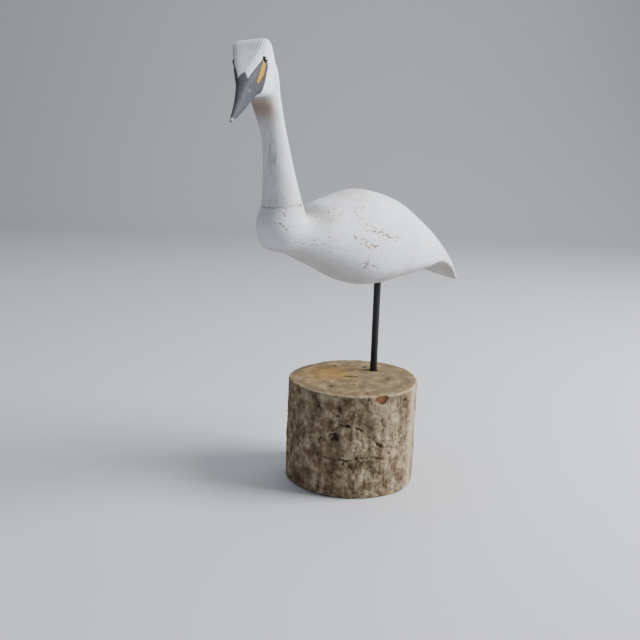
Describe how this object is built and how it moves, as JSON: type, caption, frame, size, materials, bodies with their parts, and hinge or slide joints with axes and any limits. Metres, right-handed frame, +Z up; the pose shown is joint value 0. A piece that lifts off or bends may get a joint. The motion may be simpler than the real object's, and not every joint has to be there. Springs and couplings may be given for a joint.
{
  "type": "carved heron sculpture",
  "caption": "Whitewashed carved wooden heron with its head turned to one side, on a single steel rod set in a debarked log base.",
  "frame": {"origin": "centre of the log's flat underside", "axes": "+Z up, -X towards the bird's breast, -Y to the bird's left"},
  "size_m": [0.2816, 0.1128, 0.3696],
  "materials": {
    "log_wood": "bare weathered wood, rough and dry",
    "rod_steel": "thin black paint with a dull sheen",
    "whitewashed_wood": "matt whitewash over fine grain, with brown pores and a painted grey bill and yellow lore stripe",
    "eye_glass": "polished, dark"
  },
  "bodies": {
    "root": {"log": "log_wood", "rod": "rod_steel", "body": "whitewashed_wood", "neck_and_head": "whitewashed_wood", "eye_left": "eye_glass", "eye_right": "eye_glass"}
  },
  "joints": []
}
